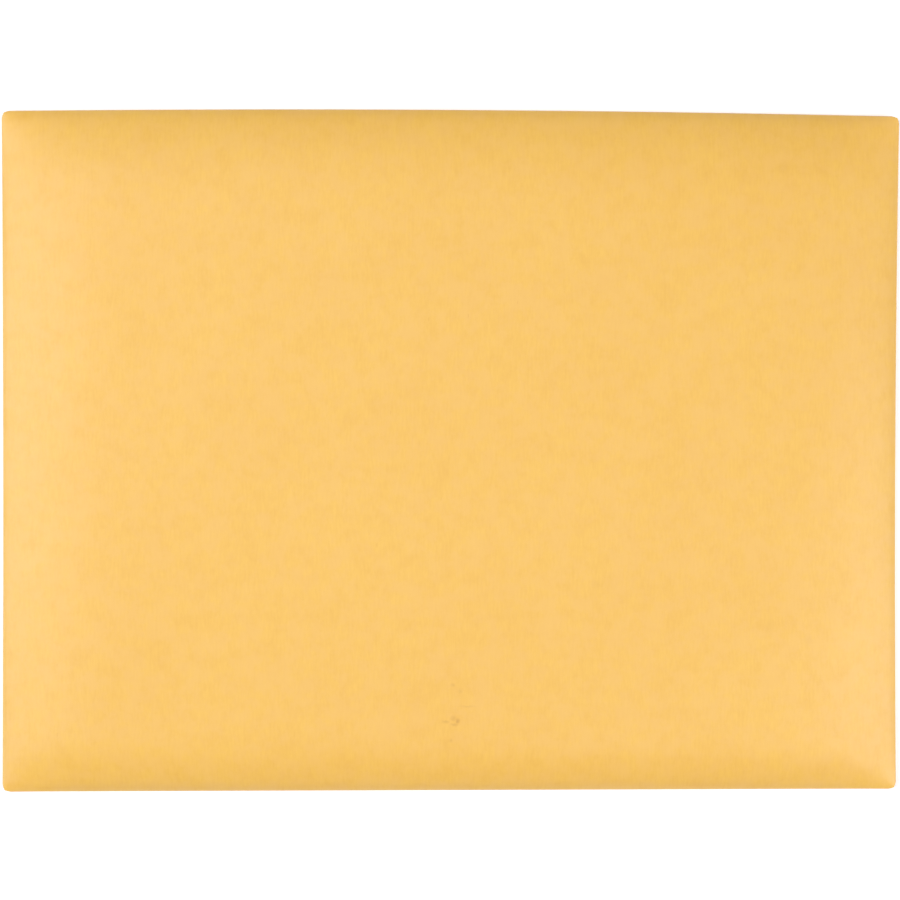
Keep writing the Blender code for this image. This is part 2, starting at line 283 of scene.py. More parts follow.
    @property
    def given(self) -> bpy.types.bpy_prop_collection:
        """The sockets that a group's tree reads."""
        return self.tree.nodes["given"].outputs

    @property
    def made(self) -> bpy.types.bpy_prop_collection:
        """The sockets that a group's tree fills."""
        return self.tree.nodes["made"].inputs


def shader_group(name: str, inputs: dict[str, object], outputs: Sequence[str]) -> Graph:
    """Start a shader node group with named sockets.

    Args:
        name: the group's name.
        inputs: each input's name and its default; a tuple makes a vector.
        outputs: the value outputs' names.

    Returns:
        The graph of the group, with its input and output nodes in place.
    """
    tree = bpy.data.node_groups.new(name, "ShaderNodeTree")
    for title, default in inputs.items():
        kind = "NodeSocketVector" if isinstance(default, tuple) else "NodeSocketFloat"
        socket = tree.interface.new_socket(title, in_out="INPUT", socket_type=kind)
        socket.default_value = default
    for title in outputs:
        tree.interface.new_socket(title, in_out="OUTPUT", socket_type="NodeSocketFloat")
    graph = Graph(tree)
    graph.node("NodeGroupInput", name="given")
    graph.node("NodeGroupOutput", name="made")
    return graph


def fibre_group() -> bpy.types.NodeTree:
    """Long fine streaks, as drawn fibres and rolled metal both show.

    Returns:
        The group.
    """
    graph = shader_group("fibre_streaks", {"Vector": ORIGIN, "Stretch": EVEN, "Spacing": 0.0004,
                                           "Seed": 0.0}, ("Streak", "Fine"))
    placed = graph.vector("DIVIDE", graph.given["Vector"], graph.given["Stretch"])
    coarse = graph.in_steps(placed, graph.given["Spacing"])
    streak = graph.noise(coarse, graph.given["Seed"], detail=3.0, rough=0.55)
    graph.feed(graph.made["Streak"], streak)
    finer = graph.vector("MULTIPLY", coarse, (FINER, FINER, FINER))
    later = graph.math("ADD", graph.given["Seed"], 7.0)
    graph.feed(graph.made["Fine"], graph.noise(finer, later, detail=2.0, rough=0.6))
    return graph.tree


def cloud_group() -> bpy.types.NodeTree:
    """Soft clouds of tone and warmth, as pulp or a worn coat shows.

    Returns:
        The group.
    """
    graph = shader_group("soft_clouds", {"Vector": ORIGIN, "Size": 0.01, "Seed": 0.0},
                         ("Tone", "Warmth"))
    scaled = graph.in_steps(graph.given["Vector"], graph.given["Size"])
    tone = graph.noise(scaled, graph.given["Seed"], detail=4.0, rough=0.6)
    graph.feed(graph.made["Tone"], tone)
    later = graph.math("ADD", graph.given["Seed"], 3.0)
    warmth = graph.noise(scaled, later, detail=4.0, rough=0.66, scale=0.8)
    graph.feed(graph.made["Warmth"], warmth)
    return graph.tree


def fleck_group() -> bpy.types.NodeTree:
    """Sparse short flecks: shives in paper, pits and spots on metal.

    Returns:
        The group.
    """
    graph = shader_group("flecks", {"Vector": ORIGIN, "Stretch": EVEN, "Spacing": 0.004,
                                    "Size": 0.2, "Share": 0.3}, ("Fleck",))
    placed = graph.vector("DIVIDE", graph.given["Vector"], graph.given["Stretch"])
    scale = graph.math("DIVIDE", 1.0, graph.given["Spacing"])
    cells = graph.node("ShaderNodeTexVoronoi", {"Vector": placed, "Scale": scale}).outputs
    near = graph.math("DIVIDE", cells["Distance"], graph.given["Size"])
    spot = graph.spread(near, low=1.0, high=0.4)
    chance = graph.node("ShaderNodeSeparateColor", {0: cells["Color"]}).outputs[0]
    kept = graph.math("LESS_THAN", chance, graph.given["Share"])
    graph.feed(graph.made["Fleck"], graph.product(spot, kept))
    return graph.tree


def wear_group() -> bpy.types.NodeTree:
    """Broken wear along folds and edges, from a mask on the mesh.

    Returns:
        The group.
    """
    graph = shader_group("edge_wear", {"Vector": ORIGIN, "Edge": 0.0, "Break Size": 0.002,
                                       "Amount": 0.5, "Seed": 0.0}, ("Wear",))
    scaled = graph.in_steps(graph.given["Vector"], graph.given["Break Size"])
    patchy = graph.noise(scaled, graph.given["Seed"], detail=4.0, rough=0.65)
    broken = graph.spread(patchy, low=0.35, high=0.65, to_low=0.3)
    worn = graph.product(graph.given["Edge"], broken, graph.given["Amount"])
    graph.feed(graph.made["Wear"], graph.math("MINIMUM", worn, 1.0))
    return graph.tree


@dataclass(frozen=True)
class Effects:
    """The shader groups that more than one finish uses.

    Attributes:
        fibre: long fine streaks.
        cloud: soft clouds of tone and warmth.
        fleck: sparse short flecks.
        wear: broken wear along folds and edges.
    """

    fibre: bpy.types.NodeTree
    cloud: bpy.types.NodeTree
    fleck: bpy.types.NodeTree
    wear: bpy.types.NodeTree

    @classmethod
    def build(cls) -> "Effects":
        """Build each group once."""
        return cls(fibre_group(), cloud_group(), fleck_group(), wear_group())


def new_material(name: str, plain: dict[str, object] | None = None
                 ) -> tuple[bpy.types.Material, Graph, bpy.types.Node]:
    """Start a material.

    Args:
        name: the material's name.
        plain: values of the shader's own sockets by name.

    Returns:
        The material, its graph and its Principled shader.
    """
    material = bpy.data.materials.new(name)
    material.use_nodes = True
    shader = material.node_tree.nodes["Principled BSDF"]
    for socket, value in (plain or {}).items():
        shader.inputs[socket].default_value = value
    return material, Graph(material.node_tree), shader


# Finishes


@dataclass(frozen=True)
class DarkMark:
    """A small darker place in the front's colour, over the eyelet, and faint darker specks around
    it.

    Attributes:
        place: its middle in plan.
        size: half its length and half its width.
        mark_colour: the colour of its darkest part.
        depth: how far it takes on that colour.
        spots: middle and half size of each spot, in half lengths and half widths, and its share.
        blotches: middle and half size of each faint darker place elsewhere on the front.
        blotch_share: how strong these are.
        wander: how far the spots' edges stray.
        wander_scale: how finely they do.
        soft: how far past its half size a spot fades out.
        levels: heights between which the mark sets in, so that the front alone has it.
    """

    place: tuple[float, float]
    size: tuple[float, float] = (0.0022, 0.0012)
    mark_colour: Colour = (0.60, 0.27, 0.05)
    depth: float = 0.60
    spots: tuple[tuple[tuple[float, float], tuple[float, float], float], ...] = (
        ((0.95, 0.1), (0.34, 0.90), 1.0), ((-0.95, -0.1), (0.60, 0.55), 0.6),
        ((0.3, 0.9), (0.60, 0.80), 0.5), ((0.45, -0.9), (0.70, 0.50), 0.6),
        ((0.2, 10.8), (0.42, 0.6), 0.42), ((1.36, 8.9), (0.42, 0.8), 0.32),
        ((-0.1, -5.6), (0.32, 0.62), 0.42), ((2.64, 4.4), (1.5, 0.32), 0.3))
    blotches: tuple[tuple[float, float, float], ...] = (
        (0.1124, -0.0612, 0.0026), (0.1258, -0.0665, 0.0022), (0.1159, 0.0999, 0.0021),
        (0.1035, 0.0192, 0.0016), (0.0504, -0.0470, 0.0018))
    blotch_share: float = 0.13
    wander: float = 0.0009
    wander_scale: float = 900.0
    soft: float = 1.4
    levels: tuple[float, float] = (0.004, 0.005)

    def mask(self, graph: Graph, place: Socket) -> Socket:
        """Wire the mark's mask.

        Args:
            graph: the material's graph.
            place: the Object coordinates.

        Returns:
            How far the paper takes on the mark's colour.
        """
        wander = graph.node("ShaderNodeTexNoise", {"Vector": place, "Scale": self.wander_scale,
                                                   "Detail": 2.0})
        shift = graph.vector("SUBTRACT", wander.outputs["Color"], (0.5, 0.5, 0.5))
        moved = graph.vector("ADD", place, graph.scaled(shift, self.wander))
        (mid_x, mid_y), (size_x, size_y) = self.place, self.size
        spots = [((mid_x + across * size_x, mid_y + along * size_y, 0),
                  (size_x * half_x, size_y * half_y, 1.0), share)
                 for (across, along), (half_x, half_y), share in self.spots]
        spots += [((x, y, 0), (half, half, 1.0), self.blotch_share) for x, y, half in self.blotches]
        masks = []
        for centre, reach, share in spots:
            offset = graph.vector("DIVIDE", graph.vector("SUBTRACT", moved, centre), reach)
            masks.append(graph.spread(graph.length(offset), self.soft, 0.0, 0.0, share))
        height = graph.node("ShaderNodeSeparateXYZ", {0: place}).outputs["Z"]
        return graph.product(reduce(partial(graph.math, "MAXIMUM"), masks),
                             graph.spread(height, *self.levels), self.depth)


@dataclass(frozen=True)
class KraftFinish:
    """Machine-finished kraft paper: streaked pulp, faint sheen and worn folds.

    Attributes:
        base: the paper's own colour.
        dark: the colour of its darker fibres.
        pink: the warmer tint of its clouds.
        cut: the colour where the sheet's surface is worn through.
        roughness: of the face.
        roughness_range: how much smoother and rougher than that its streaks are.
        streaks: how far streaks change the tone.
        clouds: how far clouds change it.
        drift: how far the widest clouds do.
        flecks: how far flecks do.
        warmth: how far clouds take on the warmer tint.
        fibre_stretch: of its fibres, along X, Y and Z.
        fibre_spacing: from fibre to fibre.
        cloud_size: of the clouds.
        drift_size: of the widest clouds.
        relief: the bump's share of streaks, of finer streaks and of clouds.
        relief_height: of the bump.
        relief_strength: how strongly it shades.
        mark: the small darker place over the eyelet, if this finish has one.
    """

    base: Colour = (0.912, 0.560, 0.101)
    dark: Colour = (0.70, 0.30, 0.040)
    pink: Colour = (0.902, 0.548, 0.140)
    cut: Colour = (0.93, 0.66, 0.30)
    roughness: float = 0.38
    roughness_range: tuple[float, float] = (-0.05, 0.06)
    streaks: float = 0.12
    clouds: float = 0.12
    drift: float = 0.05
    flecks: float = 0.28
    warmth: float = 0.6
    fibre_stretch: Point = (1.0, 6.5, 6.5)
    fibre_spacing: float = 0.0007
    cloud_size: float = 0.0050
    drift_size: float = 0.045
    relief: tuple[float, float, float] = (0.6, 0.25, 0.8)
    relief_height: float = 0.00006
    relief_strength: float = 0.5
    mark: DarkMark | None = None

    def build(self, name: str, effects: Effects) -> bpy.types.Material:
        """Make the material.

        Args:
            name: the material's name.
            effects: the shared shader groups.

        Returns:
            The finished material.
        """
        material, graph, shader = new_material(name)
        place = graph.node("ShaderNodeTexCoord").outputs["Object"]
        fibre = graph.group(effects.fibre, vector=place, stretch=self.fibre_stretch,
                            spacing=self.fibre_spacing, seed=1.0)
        cloud = graph.group(effects.cloud, vector=place, size=self.cloud_size, seed=2.0)
        broad = graph.group(effects.cloud, vector=place, size=self.drift_size, seed=5.0)
        shive = graph.group(effects.fleck, vector=place, stretch=(1.0, 5.0, 5.0), spacing=0.0045,
                            size=0.045, share=0.16)
        wear = graph.group(effects.wear, vector=place, edge=graph.stored("crease"),
                           break_size=0.0016, amount=0.5, seed=4.0)
        streak = graph.spread(fibre["Streak"], low=0.3, high=0.7, to_high=self.streaks)
        tone = graph.spread(cloud["Tone"], low=0.35, high=0.7, to_high=self.clouds)
        warmth = graph.spread(cloud["Warmth"], low=0.38, high=0.64, to_high=self.warmth)
        drift = graph.spread(broad["Tone"], low=0.35, high=0.65, to_high=self.drift)
        fleck = graph.product(shive["Fleck"], self.flecks)
        coats = [(streak, self.dark), (tone, self.dark), (warmth, self.pink), (drift, self.dark),
                 (fleck, self.dark), (wear["Wear"], self.cut)]
        # a small darker mark and faint darker specks over the eyelet go into the front's colour
        if self.mark:
            coats.append((self.mark.mask(graph, place), self.mark.mark_colour))
        colour = self.base
        for share, coat in coats:
            colour = graph.blend(share, colour, coat)
        graph.feed(shader.inputs["Base Color"], colour)
        smooth, rough = (self.roughness + step for step in self.roughness_range)
        graph.feed(shader.inputs["Roughness"],
                   graph.spread(fibre["Streak"], 0.25, 0.75, smooth, rough))
        waves = (fibre["Streak"], fibre["Fine"], cloud["Tone"])
        graph.bump(shader, graph.total(*zip(waves, self.relief)), self.relief_strength,
                   self.relief_height)
        return material


@dataclass(frozen=True)
class MetalFinish:
    """Thin rolled and stamped metal, handled and a little dull.

    Attributes:
        base: the bright metal's colour.
        dull: its colour where the air has dulled it.
        grain: which way it was rolled.
        roughness: of the clean metal.
        seed: for its own pattern.
        line_spacing: from rolling line to rolling line.
        cloud_size: of the dulled places.
        dulling: the least and the most share of the dull colour.
        dull_roughness: how much rougher a dulled place is.
        relief_height: of the bump.
        relief_strength: how strongly it shades.
    """

    base: Colour
    dull: Colour
    grain: Grain
    roughness: float
    seed: float
    line_spacing: float = 0.00025
    cloud_size: float = 0.003
    dulling: tuple[float, float] = (0.1, 0.7)
    dull_roughness: float = 0.16
    relief_height: float = 0.00003
    relief_strength: float = 0.35

    def build(self, name: str, effects: Effects) -> bpy.types.Material:
        """Make the material.

        Args:
            name: the material's name.
            effects: the shared shader groups.

        Returns:
            The finished material.
        """
        material, graph, shader = new_material(name, {"Metallic": 1.0})
        place = graph.node("ShaderNodeTexCoord").outputs["Object"]
        lines = graph.group(effects.fibre, vector=place, stretch=self.grain.value,
                            spacing=self.line_spacing, seed=self.seed)
        cloud = graph.group(effects.cloud, vector=place, size=self.cloud_size, seed=self.seed)
        pits = graph.group(effects.fleck, vector=place, spacing=0.0009, size=0.16, share=0.12)
        wear = graph.group(effects.wear, vector=place, edge=graph.stored("crease"),
                           break_size=0.0007, amount=0.8, seed=self.seed)
        dulled = graph.spread(cloud["Tone"], 0.4, 0.65, *self.dulling)
        colour = graph.blend(dulled, self.base, self.dull)
        colour = graph.blend(graph.product(pits["Fleck"], 0.5), colour, self.dull)
        colour = graph.blend(wear["Wear"], colour, self.base)
        graph.feed(shader.inputs["Base Color"], colour)
        brushed = graph.spread(lines["Streak"], 0.3, 0.7, -0.05, 0.06)
        rough = graph.math("ADD", brushed, graph.product(dulled, self.dull_roughness))
        graph.feed(shader.inputs["Roughness"], graph.math("ADD", rough, self.roughness))
        graph.bump(shader, graph.math("ADD", lines["Fine"], cloud["Tone"]), self.relief_strength,
                   self.relief_height)
        return material


@dataclass(frozen=True)
class FloorFinish:
    """A plain white sweep that keeps the object's shadow.

    Attributes:
        base: the floor's colour under the studio light.
        lift: what the camera and glossy rays see on top of that.
        reach: distances from the middle between which the lift rises to white.
    """

    base: Colour = (0.86, 0.86, 0.86)
    lift: float = 0.32
    reach: tuple[float, float] = (0.4, 1.5)

    def build(self, name: str) -> bpy.types.Material:
        """Make the floor's material, see-through from below and for the lamp under it.

        Args:
            name: the material's name.

        Returns:
            The finished material.
        """
        material, graph, shader = new_material(name, {
            "Base Color": (*self.base, 1.0), "Roughness": 0.9, "Specular IOR Level": 0.0,
            "Emission Color": WHITE})
        far = graph.length(graph.node("ShaderNodeTexCoord").outputs["Object"])
        lift = graph.spread(far, *self.reach, self.lift, 1.0)
        graph.feed(shader.inputs["Emission Strength"], graph.product(graph.background_rays(), lift))
        clear = graph.node("ShaderNodeBsdfTransparent").outputs[0]
        below = graph.node("ShaderNodeNewGeometry").outputs["Backfacing"]
        shadow = graph.node("ShaderNodeLightPath").outputs["Is Shadow Ray"]
        mixed = graph.node("ShaderNodeMixShader", {0: graph.math("MAXIMUM", below, shadow),
                                                   1: shader.outputs[0], 2: clear})
        output = material.node_tree.nodes["Material Output"]
        graph.feed(output.inputs["Surface"], mixed.outputs[0])
        return material


# Meshes


def grid(rows: Iterable[Iterable[Point]]) -> bmesh.types.BMesh:
    """Join rows of points into a sheet of triangles.

    Args:
        rows: rows of equally many points.

    Returns:
        The sheet, each cell split the same way.
    """
    sheet = bmesh.new()
    corners = [[sheet.verts.new(point) for point in row] for row in rows]
    for lower, upper in zip(corners, corners[1:]):
        for index in range(len(lower) - 1):
            sheet.faces.new((lower[index], lower[index + 1], upper[index + 1]))
            sheet.faces.new((lower[index], upper[index + 1], upper[index]))
    return sheet


def cut_straight(sheet: bmesh.types.BMesh, start: Sequence[float], stop: Sequence[float]) -> None:
    """Cut a sheet along a line in plan and keep what lies to the line's left.

    Args:
        sheet: the sheet to cut.
        start: a point of the line.
        stop: a later point of the line.
    """
    along = (Vector(stop) - Vector(start)).normalized()
    geometry = sheet.verts[:] + sheet.edges[:] + sheet.faces[:]
    bmesh.ops.bisect_plane(sheet, geom=geometry, dist=WELD, plane_co=(*start, 0),
                           plane_no=(along.y, -along.x, 0), clear_outer=True)


def cut_round(sheet: bmesh.types.BMesh, centre: Sequence[float], radius: float,
              angles: tuple[float, float], steps: int) -> None:
    """Round a corner of a sheet with short straight cuts.

    Args:
        sheet: the sheet to cut.
        centre: the arc's centre in plan.
        radius: the arc's radius.
        angles: where the arc starts and stops.
        steps: how many cuts, less one.
    """
    for step in range(steps + 1):
        angle = angles[0] + (angles[1] - angles[0]) * step / steps
        touch = Vector(centre) + radius * Vector((math.cos(angle), math.sin(angle)))
        cut_straight(sheet, touch, touch + Vector((-math.sin(angle), math.cos(angle))))


def within(lines: Sequence[float], low: float, high: float) -> list[float]:
    """Return the grid lines from low to high, both included."""
    return [line for line in lines if low - 1e-9 <= line <= high + 1e-9]


def arc(centre: tuple[float, float], radius: float, start: float, stop: float,
        steps: int) -> list[tuple[float, float]]:
    """Return points along an arc.

    Args:
        centre: the arc's centre.
        radius: the arc's radius.
        start: first angle in degrees.
        stop: last angle in degrees.
        steps: how many steps it takes.

    Returns:
        The points, both ends included.
    """
    angles = [math.radians(start + (stop - start) * step / steps) for step in range(steps + 1)]
    return [(centre[0] + radius * math.cos(angle), centre[1] + radius * math.sin(angle))
            for angle in angles]


def new_object(name: str, sheet: bmesh.types.BMesh) -> bpy.types.Object:
    """Put a bmesh in the scene as a named object and free it.

    Args:
        name: the object's name.
        sheet: the bmesh.

    Returns:
        The object.
    """
    mesh = bpy.data.meshes.new(name)
    sheet.to_mesh(mesh)
    sheet.free()
    item = bpy.data.objects.new(name, mesh)
    bpy.context.scene.collection.objects.link(item)
    return item


def modify(item: bpy.types.Object, name: str, kind: str, **settings: object) -> None:
    """Give an object a modifier.

    Args:
        item: the object.
        name: the modifier's name.
        kind: its type.
        **settings: its own properties.
    """
    modifier = item.modifiers.new(name, kind)
    for setting, value in settings.items():
        setattr(modifier, setting, value)


def thicken(item: bpy.types.Object, thickness: float, rim_slot: int = 0) -> None:
    """Thicken a sheet to both sides, with its cut edge's finish rim_slot slots further on."""
    modify(item, "thickness", "SOLIDIFY", thickness=thickness, offset=0, use_even_offset=True,
           material_offset_rim=rim_slot)


def round_edges(item: bpy.types.Object, width: float, segments: int, angle: float) -> None:
    """Round an object's edges that are sharper than an angle in degrees."""
    modify(item, "rounding", "BEVEL", width=width, segments=segments, limit_method="ANGLE",
           angle_limit=math.radians(angle))


def cut_with(item: bpy.types.Object, cutter: bpy.types.Object) -> None:
    """Cut a hole through an object."""
    modify(item, cutter.name, "BOOLEAN", operation="DIFFERENCE", solver="EXACT", object=cutter)


def bore(name: str, radius: float, centre: tuple[float, float], bottom: float,
         top: float) -> bpy.types.Object:
    """Make a round cutter.

    Args:
        name: the cutter's name.
        radius: of the hole.
        centre: of the hole in plan.
        bottom: the cutter's lower end.
        top: the cutter's upper end.

    Returns:
        The cutter, hidden from the render.
    """
    drum = bmesh.new()
    bmesh.ops.create_cone(drum, cap_ends=True, segments=72, radius1=radius, radius2=radius,
                          depth=top - bottom)
    bmesh.ops.translate(drum, verts=drum.verts[:], vec=(*centre, (bottom + top) / 2))
    cutter = new_object(name, drum)
    cutter.hide_render = True
    return cutter


def settle(item: bpy.types.Object, smooth_angle: float) -> None:
    """Apply an object's modifiers and shade it.

    Args:
        item: the object, which keeps its name and place.
        smooth_angle: edges bent more than this many degrees stay sharp.
    """
    bpy.context.view_layer.update()
    shaped = item.evaluated_get(bpy.context.evaluated_depsgraph_get())
    mesh = bpy.data.meshes.new_from_object(shaped)
    mesh.name = item.name
    item.modifiers.clear()
    rough = item.data
    item.data = mesh
    bpy.data.meshes.remove(rough)
    mesh.shade_smooth()
    mesh.set_sharp_from_angle(angle=math.radians(smooth_angle))


def paint(item: bpy.types.Object, name: str, values: np.ndarray) -> None:
    """Store one number for each vertex of an object's mesh."""
    layer = item.data.attributes.new(name, "FLOAT", "POINT")
    layer.data.foreach_set("value", values.astype(np.float32))


def points_of(item: bpy.types.Object) -> np.ndarray:
    """Read the vertices of an object.

    Args:
        item: the object.

    Returns:
        An array with a row for each vertex.
    """
    flat = np.zeros(len(item.data.vertices) * 3, np.float32)
    item.data.vertices.foreach_get("co", flat)
    return flat.reshape(-1, 3)


def declare(item: bpy.types.Object, node: str) -> None:
    """Tell the frame what a piece stands for.

    Args:
        item: the piece.
        node: the node that it replaces.
    """
    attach(item, BODY)
    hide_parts(node)


# Shape rules as geometry nodes


def geometry_tree(name: str, sizes: dict[str, float]) -> tuple[Graph, dict[str, str]]:
    """Start a geometry node tree.

    Args:
        name: the tree's name.
        sizes: each size input's name and value.

    Returns:
        The tree's graph and each input's identifier by name.
    """
    tree = bpy.data.node_groups.new(name, "GeometryNodeTree")
    face = tree.interface
    face.new_socket("Geometry", in_out="INPUT", socket_type="NodeSocketGeometry")
    finish = face.new_socket("Finish", in_out="INPUT", socket_type="NodeSocketMaterial")
    keys = {"Finish": finish.identifier}
    for title, value in sizes.items():
        socket = face.new_socket(title, in_out="INPUT", socket_type="NodeSocketFloat")
        socket.default_value = value
        keys[title] = socket.identifier
    face.new_socket("Geometry", in_out="OUTPUT", socket_type="NodeSocketGeometry")
    graph = Graph(tree)
    graph.node("NodeGroupInput", name="given")
    graph.node("NodeGroupOutput", name="made")
    return graph, keys


def end_tree(graph: Graph, geometry: Socket, offset: Socket) -> None:
    """End a tree by moving its points, in Realize Instances and Set Material.

    Args:
        graph: the tree's graph.
        geometry: what is moved.
        offset: how far each point moves.
    """
    moved = graph.node("GeometryNodeSetPosition", {"Geometry": geometry, "Offset": offset})
    real = graph.node("GeometryNodeRealizeInstances", {"Geometry": moved.outputs[0]})
    dressed = graph.node("GeometryNodeSetMaterial", {"Geometry": real.outputs[0],
                                                     "Material": graph.given["Finish"]})
    graph.feed(graph.made[0], dressed.outputs[0])


def add_rule(item: bpy.types.Object, rule: Callable, sizes: dict[str, float],
             finish: bpy.types.Material) -> None:
    """Put a geometry node tree on an object and set its inputs by identifier.

    Args:
        item: the object.
        rule: what builds the tree.
        sizes: the tree's inputs.
        finish: the material that the tree sets.
    """
    graph, keys = rule(sizes)
    modifier = item.modifiers.new(graph.tree.name, "NODES")
    modifier.node_group = graph.tree
    for title, value in {"Finish": finish, **sizes}.items():
        modifier[keys[title]] = value


def cockle_rule(sizes: dict[str, float]) -> tuple[Graph, dict[str, str]]:
    """Let loose paper sink in soft uneven waves.

    Args:
        sizes: Depth, Wave, Stretch and Seed.

    Returns:
        The tree's graph and its input identifiers.
    """
    graph, keys = geometry_tree("paper_cockle", sizes)
    given = graph.given
    place = graph.node("GeometryNodeInputPosition").outputs[0]
    inverse = graph.math("DIVIDE", 1.0, given["Wave"])
    along = graph.math("DIVIDE", inverse, given["Stretch"])
    stretch = graph.node("ShaderNodeCombineXYZ", {0: inverse, 1: along, 2: 0.0}).outputs[0]
    waves = graph.noise(graph.vector("MULTIPLY", place, stretch), given["Seed"], detail=1.5,
                        rough=0.45)
    sunk = graph.product(graph.spread(waves, low=0.25, high=0.75), given["Depth"])
    loose = graph.node("GeometryNodeInputNamedAttribute", {"Name": "loose"}, data_type="FLOAT")
    drop = graph.product(sunk, loose.outputs[0], -1.0)
    offset = graph.node("ShaderNodeCombineXYZ", {2: drop}).outputs[0]
    end_tree(graph, given["Geometry"], offset)
    return graph, keys


def petal_rule(sizes: dict[str, float]) -> tuple[Graph, dict[str, str]]:
    """Split the eyelet's clinched end into petals.

    Args:
        sizes: Petals, Depth, Reach From, Above and Sharpness.

    Returns:
        The tree's graph and its input identifiers.
    """
    graph, keys = geometry_tree("clinched_petals", sizes)
    given = graph.given
    place = graph.node("GeometryNodeInputPosition").outputs[0]
    parts = graph.node("ShaderNodeSeparateXYZ", {0: place}).outputs
    angle = graph.math("ARCTAN2", parts["Y"], parts["X"])
    turn = graph.product(angle, graph.product(given["Petals"], 0.5))
    split = graph.math("ABSOLUTE", graph.math("COSINE", turn))
    split = graph.math("POWER", split, given["Sharpness"])
    flat = graph.vector("MULTIPLY", place, (1.0, 1.0, 0.0))
    radius = graph.length(flat)
    beyond = graph.math("MAXIMUM", graph.math("SUBTRACT", radius, given["Reach From"]), 0.0)
    above = graph.math("GREATER_THAN", parts["Z"], given["Above"])
    pull = graph.product(split, given["Depth"], above)
    share = graph.math("DIVIDE", graph.product(beyond, pull), radius)
    end_tree(graph, given["Geometry"], graph.scaled(flat, graph.product(share, -1.0)))
    return graph, keys


# Sub-assemblies


@dataclass
class Outline:
    """The envelope's outline and puffed form, sized by the frame.

    Attributes:
        length: between the side folds.
        width: between the flap fold and the closed fold.
        height: from the floor to the top of the front.
        paper: the sheet's thickness.
        fold_run_out: share of a fold's radius that is gone where the fold ends at a corner.
    """

    length: float
    width: float
    height: float
    paper: float = 0.00018
    corner_radius: float = 0.0028
    fold_radius: float = 0.0005
    fold_run_out: float = 0.6
    rim_height: float = 0.0018
    rim_zone: float = 0.014
    roll_side: float = 0.050
    roll_closed: float = 0.040
    roll_flap: float = 0.023
    roll_power: int = 3
    shoulder_rise: float = 0.0006
    shoulder_run: float = 0.0080
    shoulder_end: float = 0.0055
    left_pull: float = 0.00032
    right_pull: float = 0.00074
    closed_droop: float = 0.00135
    side_flap: float = 0.018
    side_flap_slant: float = 0.009
    layer_gap: float = 0.00010
    flap_gap: float = 0.00012
    throat_inset: float = 0.008
    flap_depth: float = 0.046
    flap_taper: float = 0.010
    flap_corner: float = 0.014
    flap_step: float = 0.030
    flap_margin: float = 0.0012
    clasp_inset: float = 0.025
    metal: float = 0.00030
    seat: float = 0.0003
    patch_paper: float = 0.00014
    patch_length: float = 0.025
    patch_width: float = 0.022
    swell_fade: float = 0.045
    edge_cell: float = 0.0009
    cell_growth: float = 0.05
    largest_cell: float = 0.0042
    bend_steps: int = 10
    arc_steps: int = 10

    def __post_init__(self) -> None:
        """Work out the places that follow from the sizes."""
        self.half_length = self.length / 2
        self.half_width = self.width / 2
        self.fold_x = self.half_length - self.paper / 2 - self.fold_radius
        self.fold_y = self.half_width - self.paper / 2 - self.fold_radius
        self.panel_x = self.half_length - self.corner_radius
        self.panel_y = self.half_width - self.corner_radius
        inner = self.corner_radius - self.fold_run_out * self.fold_radius
        self.fold_end = math.sqrt(self.corner_radius ** 2 - inner ** 2)
        self.fold_end_x = self.panel_x + self.fold_end
        self.fold_end_y = self.panel_y + self.fold_end
        self.side_flap_x = self.half_length - self.side_flap
        self.throat_y = self.throat_inset - self.half_width
        self.flap_end_y = self.flap_depth - self.half_width
        self.clasp_y = self.clasp_inset - self.half_width
        self.puff = self.height - self.paper / 2 - self.rim_height - 2 * self.fold_radius

    def rim_share(self, x: float, y: float) -> float:
        """Say how far the lower sheet has risen to the folds at a place in plan.

        Args:
            x: the place along the length.
            y: the place across the width.

        Returns:
            The share of the rise, 0 to 1.
        """
        level_x = 1 - max(0.0, 1 - (self.fold_x - abs(x)) / self.rim_zone) ** 2
        level_y = 1 - max(0.0, 1 - (self.fold_y - abs(y)) / self.rim_zone) ** 2
        return 1 - level_x * level_y

    def swell(self, x: float, y: float) -> float:
        """Say how far the clasp spreads the sheets at a place in plan.

        Args:
            x: the place along the length.
            y: the place across the width.

        Returns:
            The share of the whole spread, 0 to 1.
        """
        across = fade(abs(x), self.patch_length / 2 + self.seat, self.swell_fade)
        return across * fade(abs(y - self.clasp_y), self.patch_width / 2 + self.seat,
                             self.swell_fade)

    def flap_lift(self, y: float) -> float:
        """Return how much of the seal flap's thickness the back panel rests on."""
        return fade(y, self.flap_end_y + self.flap_margin, self.flap_step)

    def flap_height(self, x: float, y: float) -> float:
        """Return the height of the seal flap, and of what else meets the floor."""
        low = self.paper / 2 + self.swell(x, y) * (self.metal + self.seat)
        return low + (self.rim_height - low) * self.rim_share(x, y)

    def back_height(self, x: float, y: float) -> float:
        """Find the height of the back panel's middle.

        Args:
            x: the place along the length.
            y: the place across the width.

        Returns:
            The height above the floor.
        """
        loose = self.flap_lift(y) * (self.paper + self.flap_gap)
        patch = self.swell(x, y) * (2 * self.seat + self.patch_paper - self.flap_gap)
        return self.flap_height(x, y) + loose + patch

    def side_height(self, x: float, y: float) -> float:
        """Return the height of a side flap's middle."""
        return self.back_height(x, y) + self.paper + self.layer_gap

    def roll(self, x: float, y: float, runs: tuple[float, float, float]) -> float:
        """Return the front's rise from its folds at a place in plan, 0 to 1.

        Args:
            x: the place along the length.
            y: the place across the width.
            runs: how far the rise takes from a side, from the closed and from the flap fold.

        Returns:
            The share of the whole rise.
        """
        side, closed, flap = runs
        insets = ((self.fold_x - x, side), (self.fold_x + x, side), (self.fold_y - y, closed),
                  (self.fold_y + y, flap))
        share = 1.0
        for inset, run in insets:
            share *= 1 - (1 - min(max(inset / run, 0.0), 1.0)) ** self.roll_power
        return share

